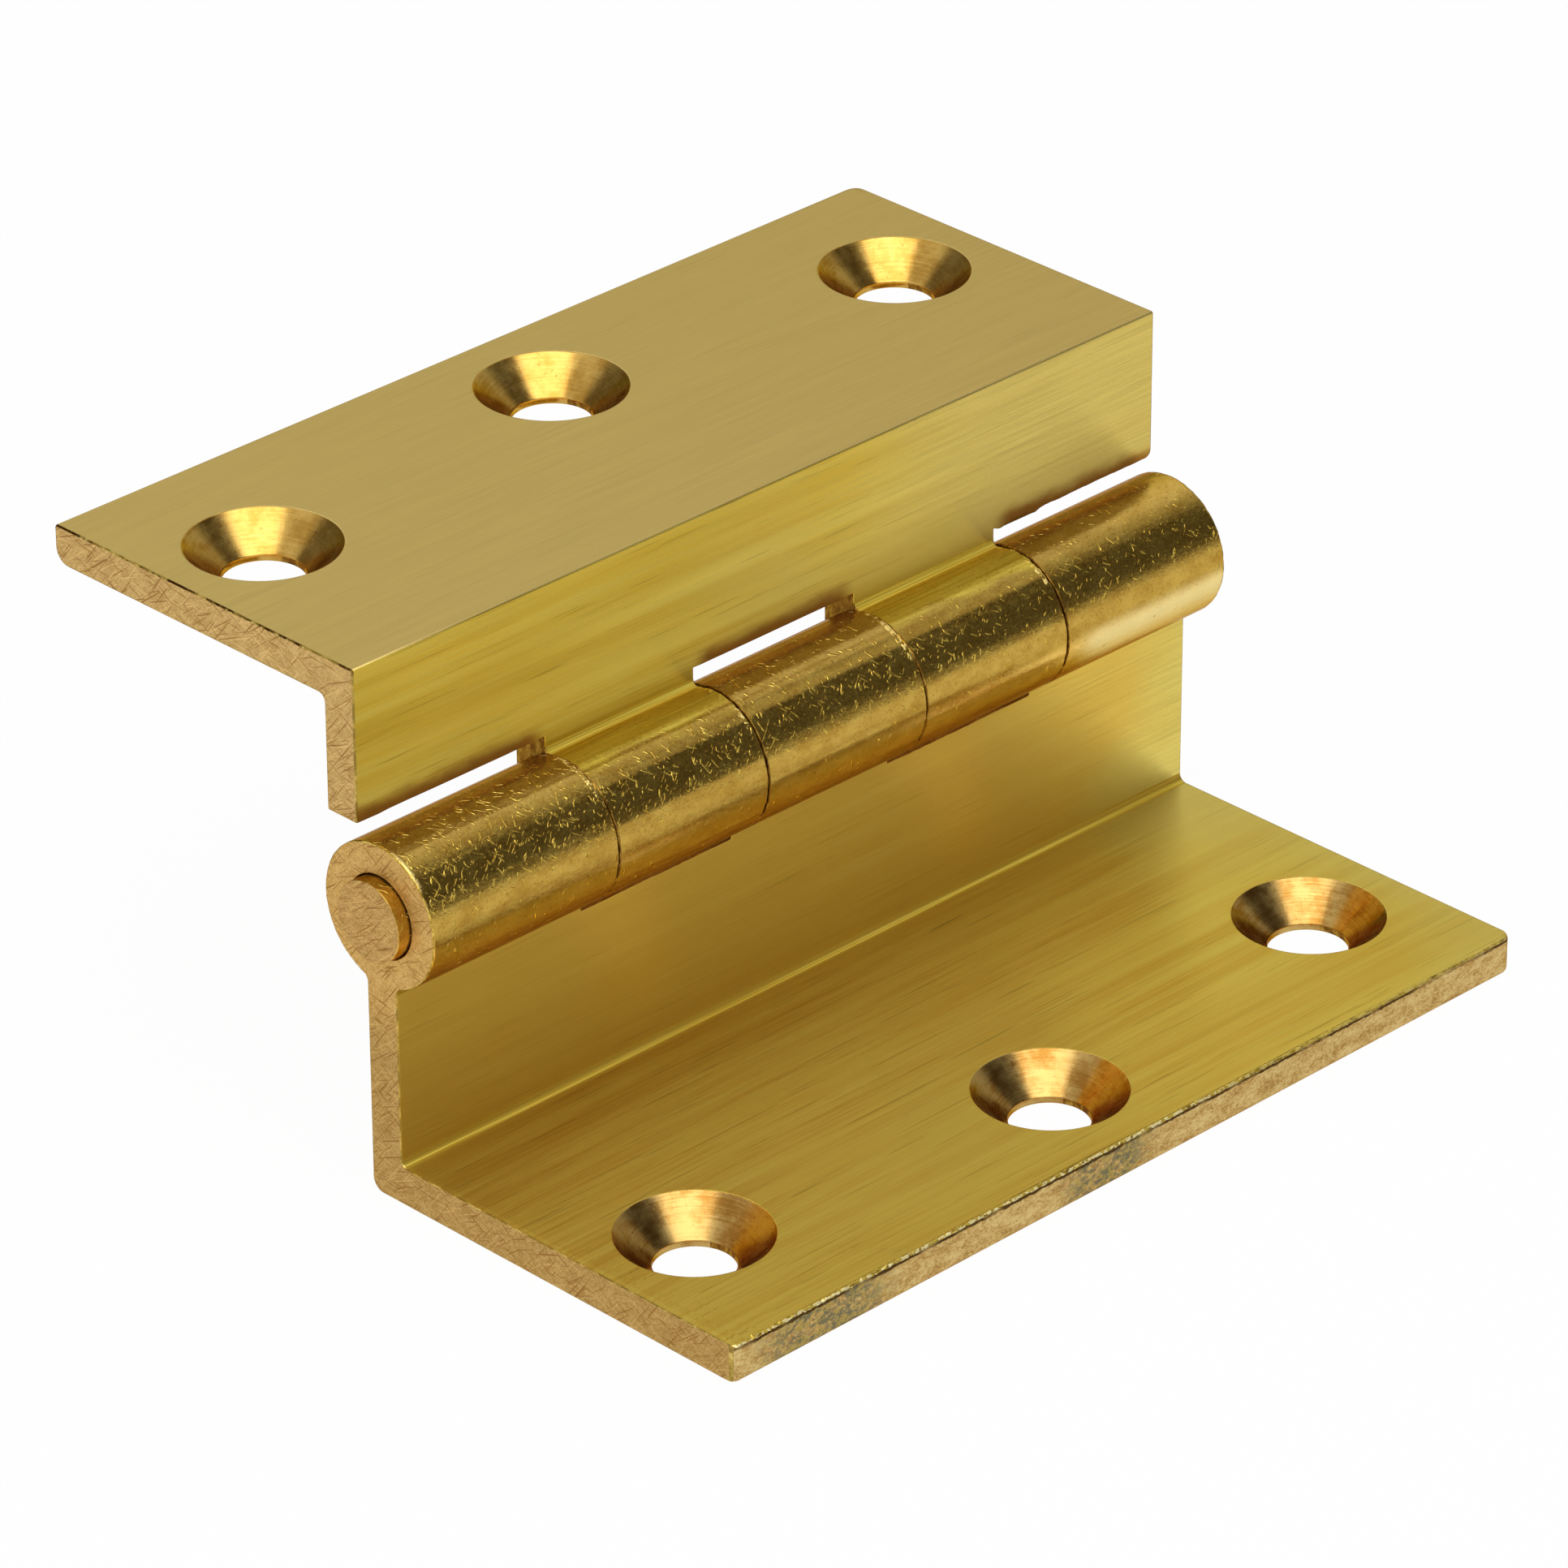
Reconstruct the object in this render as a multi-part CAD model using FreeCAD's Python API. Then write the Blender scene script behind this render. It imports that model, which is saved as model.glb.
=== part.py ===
import FreeCAD, Part
import math
import os

from FreeCAD import Vector

# A cranked butt hinge for a lipped (stormproof) casement window, in solid brass.
# Two sawn lengths of extruded section, each a plate with a flange that ends in a
# knuckle, turn on one plain pin. The frame leaf seats on the window frame and the
# casement leaf on the casement; both take three countersunk wood screws.
# It is modelled opened to a Z, plates parallel, as the hinge is laid out for sale.
#
# +X runs from the pin across the frame leaf, +Y along the pin, +Z away from the
# frame. The origin is on the frame leaf's seating face, midway between the two
# outer screw holes. All sizes are in millimetres.

# Leaves
hinge_length = 64.0
leaf_thickness = 2.4
frame_leaf_width = 29.2
frame_leaf_depth = 18.1
casement_leaf_width = 25.0
closed_plate_gap = 0.9
closed_flange_gap = 0.5

# Knuckles and pin. The frame leaf has the two end knuckles and the middle one.
knuckle_diameter = 8.8
casement_knuckle_length = 11.8
middle_knuckle_length = 12.8
knuckle_row_shift = 0.4
knuckle_side_gap = 0.08
frame_notch_gap = 0.45
casement_notch_gap = 0.8
pin_diameter = 5.0
pin_radial_clearance = 0.06
pin_stand_out = 0.9

# Screw holes
screw_bore_diameter = 4.8
countersink_diameter = 9.2
countersink_depth = 2.0
hole_end_inset = 6.75
outer_hole_inset = 10.1
middle_hole_inset = 7.0

# Rounded edges
inner_corner_radius = 0.5
outer_corner_radius = 0.8
knuckle_root_radius = 0.5
plate_edge_radius = 0.2
casement_edge_radius = 1.0
far_corner_radius = 0.8
pin_chamfer = 0.1

# How far a cutter runs past the metal it cuts
overshoot = 1.0

# Places that follow from the sizes above
half_length = hinge_length / 2
knuckle_radius = knuckle_diameter / 2
pin_radius = pin_diameter / 2
pin_hole_radius = pin_radius + pin_radial_clearance
casement_leaf_depth = frame_leaf_depth - leaf_thickness - closed_plate_gap
frame_flange_back = -leaf_thickness / 2
casement_flange_back = leaf_thickness / 2 + closed_flange_gap
outer_hole_from_pin = frame_flange_back + frame_leaf_width - outer_hole_inset
pin_axis = Vector(-outer_hole_from_pin, 0, frame_leaf_depth)
along_pin = Vector(0, 1, 0)

# Where one knuckle ends and the next begins, from the near end to the far end
middle_near = knuckle_row_shift - middle_knuckle_length / 2
middle_far = knuckle_row_shift + middle_knuckle_length / 2
near_joint = middle_near - casement_knuckle_length
far_joint = middle_far + casement_knuckle_length


def bar(x_low, x_high, z_low, z_high, y_low=-half_length, y_high=half_length):
    """A rectangular bar along the pin, placed by its sides from the pin axis."""
    corner = Vector(x_low, y_low, z_low)
    return Part.makeBox(x_high - x_low, y_high - y_low, z_high - z_low, corner)


def round_rod(radius, y_low, y_high):
    """A round rod on the pin axis."""
    return Part.makeCylinder(radius, y_high - y_low, Vector(0, y_low, 0), along_pin)


def edges_at(solid, x, z):
    """The edges along the pin that pass through x and z."""
    found = []
    for edge in solid.Edges:
        first, last = edge.Vertexes[0].Point, edge.Vertexes[-1].Point
        runs_along_pin = abs(last.y - first.y) > 0.9 * hinge_length
        if runs_along_pin and all(math.hypot(p.x - x, p.z - z) < 0.01 for p in (first, last)):
            found.append(edge)
    return found


def rounded(solid, radius, places):
    """The solid with its edges at the given places across the section rounded."""
    limit = min(radius, 0.45 * leaf_thickness)
    edges = [edge for x, z in places for edge in edges_at(solid, x, z)]
    return solid.makeFillet(limit, edges)


def cranked_section(flange_back, depth, width, inner_edge_radius):
    """
    One leaf's extruded section over the whole length, with its pin hole.

    It hangs from the pin as it does when the hinge is shut: the flange goes down
    and the plate runs to +X at its foot. The inner edge is the one of the plate's
    two long free edges that faces the pin.
    """
    flange_front = flange_back + leaf_thickness
    free_edge = flange_back + width
    plate_top = leaf_thickness - depth
    plate = bar(flange_back, free_edge, -depth, plate_top)
    flange = bar(flange_back, flange_front, -depth, 0)
    barrel = round_rod(knuckle_radius, -half_length, half_length)
    section = plate.fuse(flange).fuse(barrel).removeSplitter()
    back_root = (flange_back, -math.sqrt(knuckle_radius ** 2 - flange_back ** 2))
    section = rounded(section, knuckle_root_radius, [back_root])
    section = rounded(section, inner_corner_radius, [(flange_front, plate_top)])
    section = rounded(section, plate_edge_radius, [(free_edge, -depth)])
    section = rounded(section, inner_edge_radius, [(free_edge, plate_top)])
    return section.cut(round_rod(pin_hole_radius, -half_length, half_length))


def corner_cutter(free_edge, depth):
    """The cutter that rounds the plate's far free corner, seen square to the plate."""
    centre = Vector(free_edge - far_corner_radius, half_length - far_corner_radius, -depth)
    block = Part.makeBox(
        far_corner_radius + overshoot, far_corner_radius + overshoot, leaf_thickness, centre
    )
    return block.cut(Part.makeCylinder(far_corner_radius, leaf_thickness, centre))


def notch(y_low, y_high, gap):
    """The cutter that clears the other leaf's knuckle from y_low to y_high."""
    reach = knuckle_radius + overshoot
    return bar(-reach, reach, -knuckle_radius - gap, reach, y_low, y_high)


def countersunk_hole(x, y, face_z, inward):
    """A screw hole's cutter, sunk from face_z towards inward, which is +1 or -1."""
    into = Vector(0, 0, inward)
    mouth = Vector(x, y, face_z)
    cone = Part.makeCone(
        countersink_diameter / 2, screw_bore_diameter / 2, countersink_depth, mouth, into
    )
    bore_length = leaf_thickness + overshoot
    return cone.fuse(Part.makeCylinder(screw_bore_diameter / 2, bore_length, mouth, into))


def screw_holes(free_edge, face_z, inward):
    """Three screw holes: the outer two in line, the middle one nearer the free edge."""
    outer_x = free_edge - outer_hole_inset
    outer_y = half_length - hole_end_inset
    middle_x = free_edge - middle_hole_inset
    places = [(outer_x, -outer_y), (middle_x, 0), (outer_x, outer_y)]
    return [countersunk_hole(x, y, face_z, inward) for x, y in places]


def frame_leaf():
    """The leaf screwed to the window frame, with three knuckles."""
    leaf = cranked_section(
        frame_flange_back, frame_leaf_depth, frame_leaf_width, plate_edge_radius
    )
    leaf = rounded(leaf, outer_corner_radius, [(frame_flange_back, -frame_leaf_depth)])
    front_root = (-frame_flange_back, -math.sqrt(knuckle_radius ** 2 - frame_flange_back ** 2))
    leaf = rounded(leaf, knuckle_root_radius, [front_root])
    side = knuckle_side_gap / 2
    cutters = [
        notch(near_joint - side, middle_near + side, frame_notch_gap),
        notch(middle_far - side, far_joint + side, frame_notch_gap),
    ]
    free_edge = frame_flange_back + frame_leaf_width
    cutters.append(corner_cutter(free_edge, frame_leaf_depth))
    cutters += screw_holes(free_edge, leaf_thickness - frame_leaf_depth, -1)
    return leaf.cut(cutters)


def casement_leaf():
    """The leaf screwed to the casement, with two knuckles, turned open to a Z."""
    leaf = cranked_section(
        casement_flange_back, casement_leaf_depth, casement_leaf_width, casement_edge_radius
    )
    side = knuckle_side_gap / 2
    past_end = half_length + overshoot
    cutters = [
        notch(-past_end, near_joint + side, casement_notch_gap),
        notch(middle_near - side, middle_far + side, casement_notch_gap),
        notch(far_joint - side, past_end, casement_notch_gap),
    ]
    free_edge = casement_flange_back + casement_leaf_width
    cutters.append(corner_cutter(free_edge, casement_leaf_depth))
    cutters += screw_holes(free_edge, -casement_leaf_depth, 1)
    leaf = leaf.cut(cutters)
    leaf.rotate(Vector(0, 0, 0), along_pin, 180)
    return leaf


def hinge_pin():
    """The plain pin, as long as the hinge and standing out a little at the near end."""
    pin = round_rod(pin_radius, -half_length - pin_stand_out, half_length - pin_stand_out)
    rims = [edge for edge in pin.Edges if edge.Closed]
    return pin.makeChamfer(pin_chamfer, rims)


def main():
    """Build each piece about the pin axis, set it in the hinge's frame and save it."""
    os.makedirs("parts", exist_ok=True)
    pieces = {
        "frame_leaf": frame_leaf(),
        "casement_leaf": casement_leaf(),
        "hinge_pin": hinge_pin(),
    }
    for name, piece in pieces.items():
        piece.translate(pin_axis)
        piece.exportStep(os.path.join("parts", name + ".step"))
        box = piece.BoundBox
        print(name, len(piece.Solids), "solid", round(piece.Volume, 1), "mm3", piece.isValid(),
              [round(v, 2) for v in (box.XMin, box.XMax, box.YMin, box.YMax, box.ZMin, box.ZMax)])


main()
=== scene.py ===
"""A cranked butt hinge in sawn brass section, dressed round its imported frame.

The two leaves and the pin are drawn again as meshes whose edges are broken, sawn
and burred as the real ones are, and each face takes the finish that its tool left.
Sizes are in millimetres from the pin's axis until a mesh is placed in the frame.
"""

import logging
import math
import random
from dataclasses import dataclass, field
from enum import Enum, IntEnum
from typing import Callable, Optional, Sequence, Union

import bmesh
import bpy
from bmesh.types import BMEdge, BMesh, BMFace, BMVert
from mathutils import Matrix, Vector, noise


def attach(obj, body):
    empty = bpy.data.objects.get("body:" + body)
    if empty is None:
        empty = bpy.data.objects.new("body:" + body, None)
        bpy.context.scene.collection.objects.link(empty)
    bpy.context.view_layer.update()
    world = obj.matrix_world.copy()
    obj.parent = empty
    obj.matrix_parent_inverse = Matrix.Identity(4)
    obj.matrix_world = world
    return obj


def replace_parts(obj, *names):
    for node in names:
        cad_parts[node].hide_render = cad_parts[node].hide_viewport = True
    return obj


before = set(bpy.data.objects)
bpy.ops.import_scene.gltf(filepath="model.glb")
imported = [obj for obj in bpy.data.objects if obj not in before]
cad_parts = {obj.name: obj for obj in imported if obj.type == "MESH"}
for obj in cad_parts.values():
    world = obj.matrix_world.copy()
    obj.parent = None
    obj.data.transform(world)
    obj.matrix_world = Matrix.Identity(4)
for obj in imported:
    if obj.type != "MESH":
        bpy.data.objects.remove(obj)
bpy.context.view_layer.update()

log = logging.getLogger("hinge")

MM = 0.001
PIN_AXIS = Vector((-17.9, 0.0, 18.1))
HALF_LENGTH = 32.0
KNUCKLE_JOINTS = (-17.8, -6.0, 6.8, 18.6)
KNUCKLE_RADIUS = 4.4
SIDE_GAP = 0.04
FLAT = 1e-4
WELD = 0.002
SMOOTH_BELOW = 38

Colour = tuple[float, float, float]
Stop = tuple[float, Colour]
Socket = bpy.types.NodeSocket
Input = Union[Socket, float, Sequence[float]]


# ---------------------------------------------------------------- finishes


def shaded(colour: Colour, by: float) -> Colour:
    """A colour made darker or lighter, no part of it above 1."""
    return tuple(min(1.0, part * by) for part in colour)


class NodeBench:
    """A node tree with the few tools that the finishes and the studio share."""

    def __init__(self, tree: bpy.types.NodeTree, place: str = "Object") -> None:
        """Empty the tree.

        Args:
            tree: The node tree of a material or of the world.
            place: Which coordinates its patterns lie on.
        """
        self.tree = tree
        self.tree.nodes.clear()
        self.place = self.add("ShaderNodeTexCoord").outputs[place]

    def add(self, kind: str, **settings: object) -> bpy.types.Node:
        """Add a node.

        Args:
            kind: The node's type name.
            settings: Its properties.

        Returns:
            The new node.
        """
        node = self.tree.nodes.new(kind)
        for name, value in settings.items():
            setattr(node, name, value)
        return node

    def feed(self, socket: Socket, value: Input) -> None:
        """Link an output to a socket, or write a plain value on it.

        Args:
            socket: The input socket.
            value: Another node's output, or the value.
        """
        if isinstance(value, bpy.types.NodeSocket):
            self.tree.links.new(value, socket)
        else:
            socket.default_value = value

    def stretched(self, scale: Sequence[float], turn: Sequence[float] = (0, 0, 0),
                  place: Optional[Socket] = None) -> Socket:
        """Scale the object's coordinates, so that a pattern runs long one way.

        Args:
            scale: How many pattern cells to a metre along each axis.
            turn: How far the pattern is turned about each axis, in degrees.
            place: The coordinates to use instead of the object's own.

        Returns:
            The new coordinates.
        """
        turned = self.add("ShaderNodeMapping")
        self.feed(turned.inputs["Vector"], place or self.place)
        turned.inputs["Rotation"].default_value = [math.radians(a) for a in turn]
        scaled = self.add("ShaderNodeMapping")
        self.feed(scaled.inputs["Vector"], turned.outputs[0])
        scaled.inputs["Scale"].default_value = scale
        return scaled.outputs[0]

    def noise(self, place: Socket, detail: float = 3.0, rough: float = 0.55,
              offset: float = 0.0) -> Socket:
        """Soft noise of about one lump to a unit.

        Args:
            place: The coordinates.
            detail: How many finer layers it has.
            rough: How strong the finer layers are.
            offset: Moves the pattern, so that two of them differ.

        Returns:
            The value, mostly between 0.25 and 0.75.
        """
        node = self.add("ShaderNodeTexNoise", noise_dimensions="4D")
        self.feed(node.inputs["Vector"], place)
        node.inputs["W"].default_value = offset
        node.inputs["Scale"].default_value = 1.0
        node.inputs["Detail"].default_value = detail
        node.inputs["Roughness"].default_value = rough
        return node.outputs["Fac"]

    def between(self, value: Input, low: float, high: float,
                bottom: float = 0.0, top: float = 1.0) -> Socket:
        """Ease a value from one range to another.

        Args:
            value: The value.
            low: Where the result leaves bottom.
            high: Where it reaches top.
            bottom: The result's first value.
            top: The result's last value.

        Returns:
            The eased value.
        """
        node = self.add("ShaderNodeMapRange", interpolation_type="SMOOTHSTEP")
        self.feed(node.inputs["Value"], value)
        for name, number in (("From Min", low), ("From Max", high),
                             ("To Min", bottom), ("To Max", top)):
            node.inputs[name].default_value = number
        return node.outputs["Result"]

    def fade(self, place: Input, low: float, high: float,
             bottom: float = 0.0, top: float = 1.0) -> Socket:
        """Ease a value between two places given in millimetres, as between does."""
        return self.between(place, low * MM, high * MM, bottom, top)

    def grain(self, scale: Sequence[float], detail: float = 3.0, rough: float = 0.55,
              offset: float = 0.0) -> Socket:
        """Noise that is stretched along the object's own axes.

        Args:
            scale: How many lumps to a metre along each axis.
            detail: How many finer layers it has.
            rough: How strong the finer layers are.
            offset: Moves the pattern, so that two of them differ.

        Returns:
            The value, mostly between 0.25 and 0.75.
        """
        return self.noise(self.stretched(scale), detail, rough, offset)

    def maths(self, how: str, *values: Input) -> Socket:
        """Work out one value from others.

        Args:
            how: A Math node's operation.
            values: What it works on.

        Returns:
            The result.
        """
        node = self.add("ShaderNodeMath", operation=how)
        for socket, value in zip(node.inputs, values):
            self.feed(socket, value)
        return node.outputs[0]

    def plus(self, first: Input, second: Input) -> Socket:
        """Two values added."""
        return self.maths("ADD", first, second)

    def less(self, first: Input, second: Input) -> Socket:
        """The first value less the second."""
        return self.maths("SUBTRACT", first, second)

    def times(self, first: Input, second: Input) -> Socket:
        """Two values multiplied."""
        return self.maths("MULTIPLY", first, second)

    def most(self, first: Input, second: Input) -> Socket:
        """The larger of two values."""
        return self.maths("MAXIMUM", first, second)

    def ramp(self, value: Input, stops: Sequence[Stop]) -> Socket:
        """Turn a value into a colour.

        Args:
            value: The value.
            stops: Places from 0 to 1 and their colours.

        Returns:
            The colour.
        """
        node = self.add("ShaderNodeValToRGB")
        self.feed(node.inputs["Fac"], value)
        row = node.color_ramp.elements
        while len(row) < len(stops):
            row.new(0.5)
        for element, (where, colour) in zip(row, stops):
            element.position = where
            element.color = (*colour, 1.0)
        return node.outputs["Color"]

    def mixed(self, share: Input, first: Input, second: Input) -> Socket:
        """Mix two colours.

        Args:
            share: How much of the second shows.
            first: The first colour.
            second: The second colour.

        Returns:
            The mixed colour.
        """
        node = self.add("ShaderNodeMix", data_type="RGBA")
        self.feed(node.inputs["Factor"], share)
        for name, value in (("A", first), ("B", second)):
            socket = next(s for s in node.inputs if s.name == name and s.type == "RGBA")
            self.feed(socket, value if isinstance(value, bpy.types.NodeSocket)
                      else (*value, 1.0))
        return next(s for s in node.outputs if s.type == "RGBA")

    def parts(self, place: Socket) -> tuple[Socket, Socket, Socket]:
        """Split coordinates.

        Args:
            place: The coordinates.

        Returns:
            Their x, y and z.
        """
        node = self.add("ShaderNodeSeparateXYZ")
        self.feed(node.inputs[0], place)
        return node.outputs[0], node.outputs[1], node.outputs[2]

    def joined(self, x: Input, y: Input, z: Input) -> Socket:
        """Join three values into coordinates.

        Args:
            x: The first.
            y: The second.
            z: The third.

        Returns:
            The coordinates.
        """
        node = self.add("ShaderNodeCombineXYZ")
        for socket, value in zip(node.inputs, (x, y, z)):
            self.feed(socket, value)
        return node.outputs[0]

    def bump(self, height: Socket, depth: float, strength: float = 1.0,
             under: Optional[Socket] = None) -> Socket:
        """Raise the surface by a height.

        Args:
            height: The height, from 0 to 1.
            depth: What 1 means, in metres.
            strength: How much of it is felt.
            under: A normal that it lies over.

        Returns:
            The new normal.
        """
        node = self.add("ShaderNodeBump")
        self.feed(node.inputs["Height"], height)
        node.inputs["Distance"].default_value = depth
        node.inputs["Strength"].default_value = strength
        if under is not None:
            self.feed(node.inputs["Normal"], under)
        return node.outputs["Normal"]


class BrassBench(NodeBench):
    """The node tree of one brass finish."""

    def __init__(self, name: str) -> None:
        """Start an empty material.

        Args:
            name: The material's name.
        """
        self.material = bpy.data.materials.new(name)
        self.material.use_nodes = True
        super().__init__(self.material.node_tree)

    def brass(self, colour: Input, rough: Input, normal: Optional[Socket], metal: float,
              stretch: float = 0.0, grain: Optional[Sequence[float]] = None,
              quarter: bool = False) -> bpy.types.Material:
        """Finish the tree with one metal shader.

        Args:
            colour: The metal's colour.
            rough: Its roughness.
            normal: Its bumped normal, if any.
            metal: How far it is bare metal, the rest being its dull skin.
            stretch: How far tool marks spread the reflections one way.
            grain: The direction that the spreading is measured from.
            quarter: True where they spread a quarter turn from the grain.

        Returns:
            The material.
        """
        shader = self.add("ShaderNodeBsdfPrincipled")
        self.feed(shader.inputs["Base Color"], colour)
        self.feed(shader.inputs["Roughness"], rough)
        if normal is not None:
            self.feed(shader.inputs["Normal"], normal)
        shader.inputs["Metallic"].default_value = metal
        shader.inputs["Specular IOR Level"].default_value = 0.3
        shader.inputs["Specular Tint"].default_value = (0.55, 0.33, 0.10, 1.0)
        if grain is not None:
            shader.inputs["Anisotropic"].default_value = stretch
            shader.inputs["Anisotropic Rotation"].default_value = 0.25 if quarter else 0.0
            self.feed(shader.inputs["Tangent"], self.joined(*grain))
        out = self.add("ShaderNodeOutputMaterial")
        self.feed(out.inputs["Surface"], shader.outputs[0])
        return self.material


@dataclass(frozen=True)
class DrawnBrass:
    """Section brass as the drawing die left it, with fine lines along the pin."""

    name: str
    dark: Colour = (0.74, 0.475, 0.075)
    mid: Colour = (0.865, 0.605, 0.112)
    light: Colour = (0.93, 0.71, 0.155)
    contrast: float = 0.75
    rough: float = 0.33
    metal: float = 0.88
    # A paler colour mixed in toward the far end: a painted sheen.
    far_sheen_tint: Optional[Colour] = None
    far_span: tuple[float, float] = (-4.0, 34.0)
    far_beyond: float = -17.9
    # Where a painted brown reflection of the knuckles runs along the flange, above the notches.
    reflection_band_above: Optional[float] = None
    reflection_band_spans: tuple[tuple[float, float], ...] = ()

    def knuckle_reflection_band(self, bench: NodeBench) -> Socket:
        """A painted dark reflection of the other leaf's knuckles: a brown band on the flange just
        above the notches.

        Args:
            bench: The tree.

        Returns:
            How strong the painted reflection is, from 0 to 1.
        """
        _, y, z = bench.parts(bench.place)
        shift = bench.grain((900, 420, 900), detail=3, offset=21.0)
        ragged = bench.plus(z, bench.times(bench.less(shift, 0.5), 0.0011))
        start = self.reflection_band_above * MM
        band = bench.between(ragged, start + 0.0002, start + 0.0013, 1.0, 0.0)
        total: Input = 0.0
        for low, high in self.reflection_band_spans:
            inside = bench.times(bench.fade(y, low, low + 1.6),
                                 bench.fade(y, high - 1.6, high, 1.0, 0.0))
            total = bench.most(total, inside)
        return bench.times(band, total)

    def material(self) -> bpy.types.Material:
        """Make the material.

        Returns:
            The material.
        """
        bench = BrassBench(self.name)
        fine = bench.grain((7000, 110, 7000), detail=4, rough=0.7)
        broad = bench.grain((900, 22, 900), detail=3, offset=3.1)
        cloud = bench.grain((60, 40, 60), detail=2, offset=8.4)
        tone = bench.plus(bench.times(fine, 0.42), bench.times(broad, 0.40))
        tone = bench.plus(tone, bench.times(cloud, 0.18))
        low, high = 0.5 - 0.16 / self.contrast, 0.5 + 0.16 / self.contrast
        colour = bench.ramp(bench.between(tone, low, high),
                            [(0.0, self.dark), (0.5, self.mid), (1.0, self.light)])
        lines = bench.grain((8200, 150, 8200), detail=1, offset=5.7)
        marks = bench.between(lines, 0.64, 0.72, 0.0, 0.5 * self.contrast)
        colour = bench.mixed(marks, colour, shaded(self.dark, 0.55))
        # Painted sheen: toward the far end the colour turns paler.
        if self.far_sheen_tint is not None:
            x, y, _ = bench.parts(bench.place)
            near, far = (where * MM for where in self.far_span)
            front = bench.fade(x, self.far_beyond - 0.3, self.far_beyond + 0.3)
            shift = bench.times(bench.less(cloud, 0.5), 0.06)
            share = bench.between(bench.plus(y, shift), near, far, 0.0, 0.75)
            colour = bench.mixed(bench.times(share, front), colour, self.far_sheen_tint)
        # Painted reflection: a brown band above the notches, where the flange mirrors the dark
        # knuckles below it.
        if self.reflection_band_above is not None:
            reflected_band = bench.times(self.knuckle_reflection_band(bench), 0.94)
            colour = bench.mixed(reflected_band, colour, (0.36, 0.15, 0.024))
        rough = bench.between(fine, 0.3, 0.7, self.rough - 0.05, self.rough + 0.08)
        normal = bench.bump(fine, 3e-6 * self.contrast, 0.4)
        return bench.brass(colour, rough, normal, self.metal, 0.95, (0, 1, 0), quarter=True)


@dataclass(frozen=True)
class SawnBrass:
    """A sawn face: dull pinkish brass, scored by the blade in all directions."""

    name: str
    dark: Colour = (0.40, 0.225, 0.065)
    light: Colour = (0.70, 0.49, 0.19)
    rough: float = 0.46
    metal: float = 0.62
    lines: tuple[float, ...] = (-38.0, -52.0, -66.0, 58.0, 82.0)
    paler_above: Optional[float] = None

    def scores(self, bench: NodeBench, offset: float, threshold: float) -> Socket:
        """Blade scores, straight and short, crossing at a few angles.

        Args:
            bench: The tree.
            offset: Moves them, so that two sets differ.
            threshold: How rare they are.

        Returns:
            How deep the scores are, from 0 to 1.
        """
        total: Input = 0.0
        for turn, angle in enumerate(self.lines):
            place = bench.stretched((9800 + 700 * turn, 300, 400 + 70 * turn), (0, angle, 0))
            score = bench.noise(place, detail=0, offset=offset + 2.3 * turn)
            total = bench.most(total, bench.between(score, threshold, threshold + 0.05))
        return total

    def material(self) -> bpy.types.Material:
        """Make the material.

        Returns:
            The material.
        """
        bench = BrassBench(self.name)
        grain = bench.grain((7200, 7200, 7200), detail=4, rough=0.8)
        mottle = bench.grain((1300, 1300, 1300), detail=3, offset=4.0)
        tone = bench.plus(bench.times(grain, 0.8), bench.times(mottle, 0.2))
        colour = bench.ramp(bench.between(tone, 0.37, 0.62), [(0.0, self.dark), (1.0, self.light)])
        # Painted light: above this height the same colours are taken 1.35 times lighter.
        if self.paler_above is not None:
            _, _, z = bench.parts(bench.place)
            share = bench.fade(z, self.paler_above - 2.5, self.paler_above + 2.5)
            paler = bench.ramp(bench.between(tone, 0.37, 0.62),
                               [(0.0, shaded(self.dark, 1.35)),
                                (1.0, shaded(self.light, 1.35))])
            colour = bench.mixed(share, colour, paler)
        scores = self.scores(bench, 0.0, 0.71)
        shine = self.scores(bench, 31.0, 0.70)
        colour = bench.mixed(bench.times(shine, 0.5), colour,
                             shaded(self.light, 1.3))
        colour = bench.mixed(bench.times(scores, 0.7), colour,
                             (0.30, 0.125, 0.022))
        marks = bench.times(bench.less(shine, scores), 0.4)
        height = bench.plus(grain, marks)
        normal = bench.bump(height, 10e-6, 0.6)
        rough = bench.between(grain, 0.3, 0.7, self.rough - 0.08, self.rough + 0.1)
        return bench.brass(colour, rough, normal, self.metal)


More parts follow.
